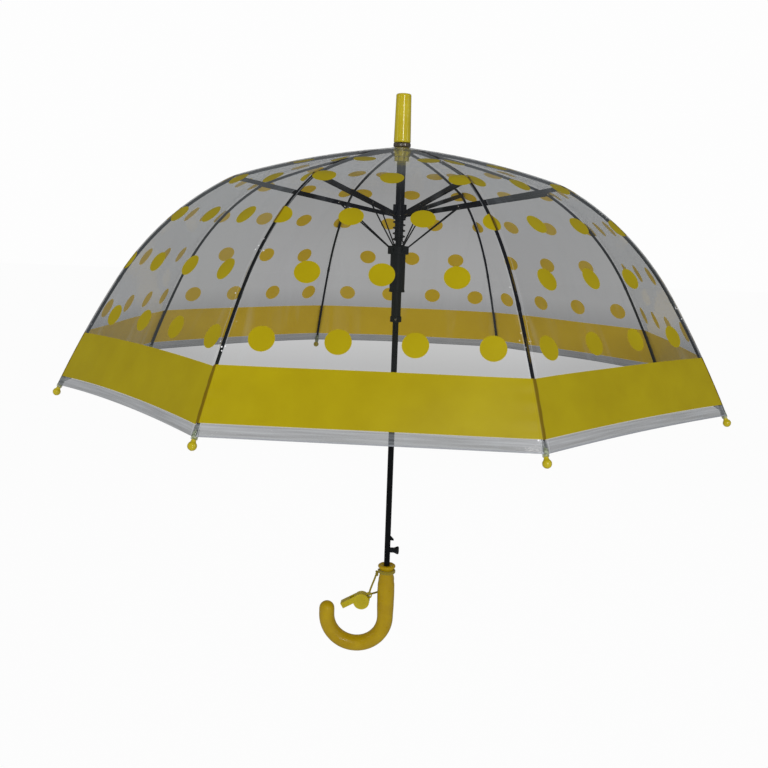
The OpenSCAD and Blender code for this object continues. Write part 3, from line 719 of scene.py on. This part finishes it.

# The weld beside each rib: a double thickness with pressed edges, each with a pale painted highlight line, and white
# specks painted as glints
weld_edge = 3.4 * mm
weld = node(tree, "MapRange", {
    "Value": seam, "From Min": 3.2 * mm, "From Max": 3.5 * mm, "To Min": 1.0, "To Max": 0.0,
}).outputs[0]
groove = node(tree, "Math", {0: seam, 1: weld_edge}, operation="SUBTRACT").outputs[0]
groove = node(tree, "Math", {0: groove}, operation="ABSOLUTE").outputs[0]
groove = node(tree, "MapRange", {
    "Value": groove, "From Min": 0.25 * mm, "From Max": 0.6 * mm, "To Min": 1.0, "To Max": 0.0,
}).outputs[0]
# Painted glints: small white specks close to the welds, kept off the print, that stand for sparkles of light
painted_glints = node(tree, "TexVoronoi", {"Vector": where.outputs["Object"], "Scale": 260}).outputs["Distance"]
painted_glints = node(tree, "MapRange", {
    "Value": painted_glints, "From Min": 0.14, "From Max": 0.24, "To Min": 1.0, "To Max": 0.0,
}).outputs[0]
groups = node(tree, "TexNoise", {"Vector": where.outputs["Object"], "Scale": 38, "Detail": 1}).outputs["Fac"]
groups = node(tree, "MapRange", {"Value": groups, "From Min": 0.56, "From Max": 0.62}).outputs[0]
close = node(tree, "MapRange", {
    "Value": seam, "From Min": 5 * mm, "From Max": 8 * mm, "To Min": 1.0, "To Max": 0.0,
}).outputs[0]
painted_glints = node(tree, "Math", {0: painted_glints, 1: groups}, operation="MULTIPLY").outputs[0]
painted_glints = node(tree, "Math", {0: painted_glints, 1: close}, operation="MULTIPLY").outputs[0]
bare = node(tree, "Math", {0: 1.0, 1: printed}, operation="SUBTRACT").outputs[0]
painted_glints = node(tree, "Math", {0: painted_glints, 1: bare}, operation="MULTIPLY").outputs[0]
hem = node(tree, "MapRange", {
    "Value": above, "From Min": 1.2 * mm, "From Max": 1.7 * mm, "To Min": 1.0, "To Max": 0.0,
}).outputs[0]

# Long soft wrinkles that run up the gore, with paler streaks painted on them as painted reflections, and a painted
# paler sheen where the film is seen edge on
stretched = node(tree, "VectorMath", {0: cut.outputs["Vector"], 1: (55, 6, 0)}, operation="MULTIPLY").outputs[0]
wrinkle = node(tree, "TexNoise", {"Vector": stretched, "Scale": 1.0, "Detail": 4, "Distortion": 0.6}).outputs["Fac"]
wrinkle_streak_sheen = node(tree, "MapRange", {"Value": wrinkle, "From Min": 0.54, "From Max": 0.72}).outputs[0]
grazing = node(tree, "LayerWeight", {"Blend": 0.35}).outputs["Facing"]
# Painted sheen: the film's colour turns paler edge on and along the wrinkle streaks
painted_sheen = node(tree, "MapRange", {"Value": grazing, "From Min": 0.35, "From Max": 1.0, "To Max": 0.8}).outputs[0]
painted_sheen = node(tree, "Math", {0: wrinkle_streak_sheen, 1: 0.16, 2: painted_sheen}, operation="MULTIPLY_ADD", use_clamp=True).outputs[0]
free = node(tree, "Math", {0: 1.0, 1: weld}, operation="SUBTRACT").outputs[0]
painted_sheen = node(tree, "Math", {0: painted_sheen, 1: free}, operation="MULTIPLY").outputs[0]
colour = node(tree, "Mix", {0: painted_sheen, 6: cast, 7: linear("#AFB7BB")}, data_type="RGBA").outputs[2]
# The clear margin below the band is milky along the hem, where the welding bar pressed it
margin = node(tree, "MapRange", {
    "Value": above, "From Min": 10.5 * mm, "From Max": 11.5 * mm, "To Min": 1.0, "To Max": 0.0,
}).outputs[0]
drawn = node(tree, "VectorMath", {0: cut.outputs["Vector"], 1: (12, 420, 0)}, operation="MULTIPLY").outputs[0]
milk = node(tree, "TexNoise", {"Vector": drawn, "Scale": 1.0, "Detail": 3}).outputs["Fac"]
milk = node(tree, "MapRange", {
    "Value": milk, "From Min": 0.35, "From Max": 0.7, "To Min": 0.1, "To Max": 0.6,
}).outputs[0]
milk = node(tree, "Math", {0: milk, 1: margin}, operation="MULTIPLY").outputs[0]
colour = node(tree, "Mix", {0: milk, 6: colour, 7: linear("#A4A8AC")}, data_type="RGBA").outputs[2]
colour = node(tree, "Mix", {0: hem, 6: colour, 7: linear("#85888D")}, data_type="RGBA").outputs[2]
# Painted highlight: a pale line along each pressed weld edge
painted_edge_highlight = node(tree, "Math", {0: groove, 1: 0.4}, operation="MULTIPLY").outputs[0]
colour = node(tree, "Mix", {0: painted_edge_highlight, 6: colour, 7: linear("#C8CCD0")}, data_type="RGBA").outputs[2]
colour = node(tree, "Mix", {0: printed, 6: colour, 7: ink}, data_type="RGBA").outputs[2]
colour = node(tree, "Mix", {0: painted_glints, 6: colour, 7: linear("#FFFFFF")}, data_type="RGBA").outputs[2]
tree.links.new(colour, surface.inputs["Base Color"])

body = node(tree, "MapRange", {"Value": grazing, "From Min": 0.15, "From Max": 1.0, "To Min": 0.42, "To Max": 0.64})
body = node(tree, "Mix", {0: weld, 2: body.outputs[0], 3: 0.44}).outputs[0]
body = node(tree, "Math", {0: wrinkle_streak_sheen, 1: 0.04, 2: body}, operation="MULTIPLY_ADD").outputs[0]
thicker = node(tree, "MapRange", {
    "Value": above, "From Min": 65 * mm, "From Max": 95 * mm, "To Min": 0.1, "To Max": 0.0,
}).outputs[0]
body = node(tree, "Math", {0: body, 1: thicker}, operation="ADD").outputs[0]
body = node(tree, "Math", {0: margin, 1: 0.2, 2: body}, operation="MULTIPLY_ADD").outputs[0]
body = node(tree, "Math", {0: hem, 1: 0.15, 2: body}, operation="MULTIPLY_ADD").outputs[0]
body = node(tree, "Math", {0: groove, 1: 0.1, 2: body}, operation="MULTIPLY_ADD").outputs[0]
body = node(tree, "Math", {0: body, 1: printed}, operation="MAXIMUM").outputs[0]
body = node(tree, "Math", {0: body, 1: painted_glints}, operation="MAXIMUM", use_clamp=True).outputs[0]
tree.links.new(body, surface.inputs["Alpha"])
rough = node(tree, "MapRange", {"Value": printed, "To Min": 0.1, "To Max": 0.34})
tree.links.new(rough.outputs[0], surface.inputs["Roughness"])
surface.inputs["IOR"].default_value = 1.53
surface.inputs["Specular IOR Level"].default_value = 0.22
ripple = node(tree, "TexNoise", {"Vector": where.outputs["Object"], "Scale": 70, "Detail": 2}).outputs["Fac"]
relief = node(tree, "Math", {0: groove, 1: 0.6, 2: ripple}, operation="MULTIPLY_ADD").outputs[0]
bump = node(tree, "Bump", {"Height": relief, "Strength": 0.25, "Distance": 0.5 * mm})
tree.links.new(bump.outputs["Normal"], surface.inputs["Normal"])

row_of = {}
for name, radius in (("crown", 24), ("shoulder", 90), ("joint", 187)):
    row_of[name] = min(range(len(profile)), key=lambda k: abs(profile[k][0] - radius * mm))
last_row = len(profile) - 1


for i in range(1, 9):
    crown = film_panel(f"film_crown_{i}", i, 0, row_of["crown"], film)
    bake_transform(crown)
    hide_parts("canopy")
    for part, first, last, carrier, keep in (
        ("shoulder", row_of["crown"], row_of["shoulder"], "rib_upper", 0.42),
        ("upper", row_of["shoulder"], row_of["joint"], "rib_upper", 0.2),
        ("lower", row_of["joint"], last_row, "rib_lower", 0.1),
    ):
        panel = film_panel(f"film_{part}_{i}", i, first, last, film)
        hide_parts("canopy")
        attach(panel, f"{carrier}_{i}")
        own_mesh(panel)

# ---- Rain tips ----
# A yellow moulded ball on a short neck caps each rib's end. The film's corner is pulled over the neck in a small
# clear sleeve, so that it can't slip off.
sleeve_film, tree, surface = finish("clear_sleeve_film")
where = node(tree, "TexCoord")
milky = node(tree, "TexNoise", {"Vector": where.outputs["Object"], "Scale": 400, "Detail": 2})
shade = two_tone(tree, milky.outputs["Fac"], 0.35, "#6E7A5C", 0.7, "#B4BCA0")
tree.links.new(shade, surface.inputs["Base Color"])
surface.inputs["Roughness"].default_value = 0.15
surface.inputs["IOR"].default_value = 1.53
surface.inputs["Alpha"].default_value = 0.6

tip_slope = slope_tip - 4.5 * mm / tail_radius
tip_profile = [(0.25, -3.9), (0.9, -3.85), (1.2, -3.6), (1.55, -3.55)]
tip_profile += [(3.9 * cos(radians(a)), 3.9 * sin(radians(a))) for a in range(-60, 51, 10)]
tip_profile += [
    (2.25, 3.55), (2.05, 4.2), (1.95, 5.2), (1.95, 7.6), (2.2, 8.2), (2.25, 8.8), (1.9, 9.05), (1.5, 9.05),
]
sleeve_profile = [
    (2.5, 5.4), (2.75, 5.6), (2.8, 8.0), (2.6, 11), (2.3, 14), (2.1, 17), (1.9, 17.2), (1.7, 17.0), (1.75, 14),
]
for i in range(1, 9):
    stand = rib_turn(i) @ Matrix.Translation((tip_at[0], 0, tip_at[1])) @ Matrix.Rotation(tip_slope - pi / 2, 4, "Y")
    for name, table, stuff in (("rain_tip", tip_profile, yellow_nylon), ("tip_sleeve", sleeve_profile, sleeve_film)):
        verts, faces = lathe([(r * mm, z * mm) for r, z in table], 32)
        piece = new_piece(f"{name}_{i}", [stand @ v for v in verts], faces, [stuff])
        if name == "rain_tip":
            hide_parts(f"rib_tip_{i}")
        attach(piece, f"rib_lower_{i}")

# ---- Whistle ----
# A pea whistle moulded in the same yellow plastic, with a cork pea in its drum.
cork, tree, surface = finish("pressed_cork")
where = node(tree, "TexCoord")
grain = node(tree, "TexVoronoi", {"Vector": where.outputs["Object"], "Scale": 1400})
shade = two_tone(tree, grain.outputs["Distance"], 0.1, "#B08A58", 0.8, "#7A5A34")
tree.links.new(shade, surface.inputs["Base Color"])
surface.inputs["Roughness"].default_value = 0.85
coat(["whistle"], yellow_nylon)
coat(["whistle_pea"], cork)
